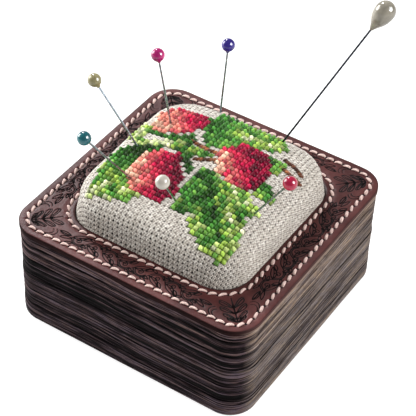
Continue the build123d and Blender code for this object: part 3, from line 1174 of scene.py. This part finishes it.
def inside_outline(x, y, outline):
    """True if a point lies inside a closed outline."""
    inside = False
    for (x1, y1), (x2, y2) in zip(outline, outline[1:] + outline[:1]):
        if (y1 > y) != (y2 > y) and x < (x2 - x1) * (y - y1) / (y2 - y1) + x1:
            inside = not inside
    return inside


def gap_to_line(x, y, start, end):
    """How far a point lies from a straight line between two points, and on which side."""
    run_x, run_y = end[0] - start[0], end[1] - start[1]
    share = ((x - start[0]) * run_x + (y - start[1]) * run_y) / (run_x**2 + run_y**2)
    share = min(1.0, max(0.0, share))
    gap_x, gap_y = x - start[0] - share * run_x, y - start[1] - share * run_y
    side = 1 if run_x * gap_y - run_y * gap_x > 0 else -1
    return math.hypot(gap_x, gap_y), side


def pick(threads, shade, variety=0.13):
    """The thread nearest to a shade from 0 to 1, with some hand-sewn variety."""
    shade += random.uniform(-variety, variety)
    return threads[min(len(threads) - 1, max(0, int(shade * len(threads))))]


def smooth_step(value, low, high):
    share = min(1.0, max(0.0, (value - low) / (high - low)))
    return share * share * (3 - 2 * share)


def berry_shade(outline, sideways, low, high):
    """The shade at a point of a berry: light on its lower left and dark on its upper right."""
    low_x, low_y = np.min(outline, axis=0)
    high_x, high_y = np.max(outline, axis=0)

    def shade(x, y):
        right = (x - low_x) / (high_x - low_x)
        up = (y - low_y) / (high_y - low_y)
        return 0.08 + 0.78 * smooth_step(sideways * right + (1 - sideways) * up, low, high)

    return shade


def patches(x, y):
    """Soft patches of light in the leaves, from -1 to 1."""
    first = math.sin(0.93 * x + 0.41 * y + 1.3) * math.sin(0.77 * y - 0.52 * x + 0.4)
    return 0.7 * first + 0.3 * math.sin(1.9 * x - 1.4 * y)


def big_leaf_shade(x, y):
    """Dark by the rib, emerald to its left out to a pale fringe, and lime with pale patches to its right."""
    gap, side = gap_to_line(x, y, (3.5, -1.5), (11.5, -12.5))
    if side > 0:
        shade = 0.46 + 0.16 * smooth_step(gap, 0.4, 3.0)
        if patches(x, y) > 0.30:
            shade += 0.22
        return shade - 0.40 * (1 - smooth_step(math.hypot(x - 12.6, y + 6.6), 0.6, 2.0))
    lower = smooth_step(-y, 7.0, 13.0) * smooth_step(x, 3.5, 5.5)
    shade = 0.14 + 0.24 * smooth_step(gap, 0.4, 3.2) + 0.14 * patches(x, y) + 0.14 * lower
    return shade + 0.18 * smooth_step(gap, 1.6, 3.6) * lower


def left_leaf_shade(x, y):
    """Dark at its shoulder by the edge, lime lower down, and a pale fringe."""
    shade = 0.13 + 0.42 * smooth_step(-y, 2.5, 11) + 0.16 * patches(x, y)
    if y < -11.5 and patches(x, y) > 0.05:
        shade += 0.28
    return shade


def far_leaf_shade(x, y):
    """Dark by the berry on the left, with a pale streak that runs out to a lime tip."""
    gap, _ = gap_to_line(x, y, (0.5, 11.8), (8.5, 13.2))
    shade = 0.26 + 0.24 * smooth_step(x, -5.5, 1.5) + 0.12 * patches(x, y)
    return shade + 0.24 * (1 - smooth_step(gap, 0.3, 1.6))


# Each part of the motif: its kind, its outline, its shade at a point and how much single stitches vary.
# Where two overlap, the first is sewn.
MOTIF = [
    ("berry", RIGHT_BERRY, berry_shade(RIGHT_BERRY, 0.62, 0.10, 0.74), 0.22),
    ("berry", LEFT_BERRY, berry_shade(LEFT_BERRY, 0.74, 0.14, 0.74), 0.16),
    ("berry", FAR_BERRY, berry_shade(FAR_BERRY, 0.6, 0.08, 1.2), 0.13),
    ("leaf", PALE_LEAF, lambda x, y: random.uniform(0.55, 1.0), 0.13),
    ("leaf", MIDDLE_LEAF, lambda x, y: 0.48 + 0.2 * patches(x, y), 0.13),
    ("leaf", SEPALS, lambda x, y: 0.26 + 0.12 * patches(x, y), 0.13),
    ("leaf", FAR_SEPALS, lambda x, y: 0.26 + 0.12 * patches(x, y), 0.13),
    ("leaf", BIG_LEAF, big_leaf_shade, 0.17),
    ("leaf", LEFT_LEAF, left_leaf_shade, 0.13),
    ("leaf", FAR_LEAF, far_leaf_shade, 0.13),
    ("leaf", TIP_LEAF, lambda x, y: 0.12 + 0.5 * (3.5 - y) / 5, 0.13),
    ("leaf", HIGH_LEAF, lambda x, y: 0.15 + 0.5 * (x - 7.5) / 4.5, 0.13),
    ("leaf", SIDE_LEAF, lambda x, y: random.uniform(0.5, 0.95), 0.13),
]


def plan_embroidery():
    """The stitched cells of each kind, with their threads."""
    cells = {"berry": [], "leaf": []}
    for row in range(-20, 20):
        for column in range(-20, 20):
            x, y = column + 0.5, row + 0.5
            for kind, outline, shade, variety in MOTIF:
                if inside_outline(x, y, outline):
                    cells[kind].append((column, row, pick(THREADS[kind], shade(x, y), variety)))
                    break
    return cells


def floss_material(name):
    """Stranded cotton: each leg of a stitch shows the fine lie of its strands, with painted shade between
    them.
    """
    floss = Nodes(name)
    lie = floss.wave(floss.uv("strand", "X") * 1.2 + floss.uv("strand", "Y"), 8)
    fuzz = floss.noise(floss.place(), 2600.0, 2.0)
    # Painted shade in the grooves between strands.
    shade = floss.mix(lie * 0.45, WHITE, (0.5, 0.5, 0.5, 1))
    tone = floss.mix(1.0, floss.stored("dye_and_shade", "Color"), shade, "MULTIPLY")
    tone = floss.mix(floss.span(fuzz, 0.0, 0.2, 0.45, 0.7), tone, WHITE, "SOFT_LIGHT")
    floss.set(Base_Color=tone, Roughness=0.34, Specular_IOR_Level=0.14)
    floss.bump(lie, 0.06 * MM, 0.6)
    return floss.material


def cross_legs(cells):
    """The two legs of each cross stitch: start, end, rise in mm, width as a share, and thread."""
    legs = []
    for column, row, colour in cells:
        legs.append(((column, row), (column + 1, row + 1), 0.50, 1.0, colour))
        legs.append(((column, row + 1), (column + 1, row), 0.76, 1.0, colour))
    return legs


def stem_legs():
    """Slanting stitches laid close along each stem's line."""
    legs = []
    for start, end in STEMS:
        start, end, run, across = span_of(start, end)
        count = math.ceil(np.linalg.norm(run) / 0.62)
        for index in range(count):
            first = start + run * (index - 0.15) / count - across * STEM_WIDTH
            last = start + run * (index + 1.15) / count + across * STEM_WIDTH
            colour = pick(STEM_THREADS, random.uniform(0.1, 0.9))
            legs.append((tuple(first), tuple(last), 0.62, 0.95, colour))
    return legs


def make_embroidery(canvas, kind, legs):
    """Stitches as separate strands that arch over the canvas from hole to hole."""
    stations, sides = 9, 8
    share = np.linspace(0, 1, stations)
    arch = np.sin(math.pi * share) ** 0.55
    along = 0.5 + (share - 0.5) * 0.98
    u, v, lift, wide, dyes = [], [], [], [], []
    for start, end, rise, width, colour in legs:
        u.append(start[0] + (end[0] - start[0]) * along + random.uniform(-0.04, 0.04))
        v.append(start[1] + (end[1] - start[1]) * along + random.uniform(-0.04, 0.04))
        lift.append((-0.36 + arch * rise * random.uniform(0.9, 1.1)) * MM)
        wide.append((0.14 + 0.36 * arch) * width * random.uniform(0.94, 1.06) * MM)
        shade = random.uniform(0.74, 1.26)
        dyes.append(linear(*(min(255, value * shade) for value in colour)))
    u, v, lift, wide = (np.array(values) for values in (u, v, lift, wide))
    place, normal = canvas.at(u, v)
    centres = place + normal * lift[..., None]
    sideways = np.cross(normal, np.gradient(centres, axis=1))
    sideways /= np.maximum(np.linalg.norm(sideways, axis=-1, keepdims=True), 1e-12)
    shape = centres, sideways, normal, wide, wide * 0.8
    piece = make_strands(f"{kind}_stitches", floss_material(f"{kind} thread"), *shape, sides)
    # Painted shade: each leg darkens towards its ends, where it dips into a hole.
    wear_and_shade = (0.45 + 0.65 * arch)[None, :, None, None]  # threads are darker where they dip into a hole
    wear_and_shade = np.broadcast_to(wear_and_shade, (len(dyes), stations, sides, 1))
    point_colours(piece, "dye_and_shade", np.array(dyes)[:, None, None, :] * wear_and_shade)
    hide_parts(f"{kind}_embroidery")


# ---- pins ----


def pearl_material(name, light, dark):
    """A moulded pearl bead: a soft lustre under a clear coat."""
    bead = Nodes(name)
    swirl = bead.noise(bead.place(), 300.0, 2.0, 0.5)
    tone = bead.mix(bead.span(swirl, 0.0, 1.0, 0.3, 0.7), dark, light)
    bead.set(Base_Color=tone, Roughness=0.5, Specular_IOR_Level=0.06)
    bead.set(Coat_Weight=1.0, Coat_Roughness=0.1)
    bead.bump(swirl, 0.02 * MM, 0.15)
    return bead.material


def steel_material(name, dark, light):
    """Drawn needle wire, with faint marks along it."""
    steel = Nodes(name)
    drawn = steel.noise(steel.place(), 900.0, 3.0, 0.6)
    tone = steel.ramp(drawn, (0.3, dark), (0.7, light))
    steel.set(Base_Color=tone, Metallic=1.0, Roughness=steel.span(drawn, 0.18, 0.34))
    return steel.material


# The light and the dark tone in each pin's head
HEADS = {
    "teal": ((0, 106, 112), (0, 58, 70)),
    "gold": ((140, 134, 98), (100, 93, 62)),
    "magenta": ((182, 0, 106), (118, 0, 76)),
    "violet": ((42, 24, 128), (22, 12, 82)),
    "white": ((196, 191, 181), (156, 150, 141)),
    "crimson": ((188, 0, 60), (122, 0, 42)),
    "pearl": ((140, 135, 122), (98, 94, 84)),
}


def paint_pins():
    bright = steel_material("needle steel", linear(116, 126, 136), linear(178, 190, 200))
    blued = steel_material("blued steel", linear(22, 26, 32), linear(54, 58, 66))
    for name, (light, dark) in HEADS.items():
        bead = pearl_material(f"{name} bead", linear(*light), linear(*dark))
        repaint(f"{name}_pin_head", bead)
        repaint(f"{name}_pin_needle", blued if name == "pearl" else bright)


def repaint(node, material):
    """Gives a carried-over CAD node another material."""
    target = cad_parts[node]
    if not target.material_slots:
        target.data.materials.append(material)
    for place in target.material_slots:
        place.link = "OBJECT"
        place.material = material


def paint_hidden():
    """The nodes inside the block keep their CAD shapes."""
    fibre = Nodes("stuffing fibre")
    curl = fibre.noise(fibre.place(), 700.0, 5.0, 0.7)
    fibre.set(Base_Color=fibre.mix(curl, linear(190, 182, 168), linear(232, 226, 214)), Roughness=0.95)
    fibre.bump(curl, 0.4 * MM)
    repaint("stuffing", fibre.material)
    board = Nodes("board")
    grain = board.noise(board.scaled(board.place(), 30, 600, 600), 1.0, 4.0, 0.6)
    board.set(Base_Color=board.mix(grain, linear(168, 128, 84), linear(208, 172, 122)), Roughness=0.7)
    board.bump(grain, 0.1 * MM)
    repaint("cushion_board", board.material)
    repaint("leather_lining", leather_material("lining leather", (122, 106, 96)))


# ---- the whole ----

make_camera()
make_studio()
wood = wood_material()
for number, node in enumerate(
    ["base_plate", "wood_layer_2", "wood_layer_3", "wood_layer_4", "wood_layer_5", "top_plate"]
):
    make_sheet(node, wood, 31 + number)
make_leather()
seam_thread = thread_material("seam thread", linear(250, 226, 216), linear(178, 138, 130))
make_stitching("outer_stitching", OUTER_ROW, seam_thread)
make_stitching("inner_stitching", INNER_ROW, seam_thread)
canvas = Canvas()
stitched = plan_embroidery()
make_canvas(canvas, sum(stitched.values(), []))
for kind, members in stitched.items():
    make_embroidery(canvas, kind, cross_legs(members))
make_embroidery(canvas, "stem", stem_legs())
paint_pins()
paint_hidden()

bpy.context.view_layer.update()
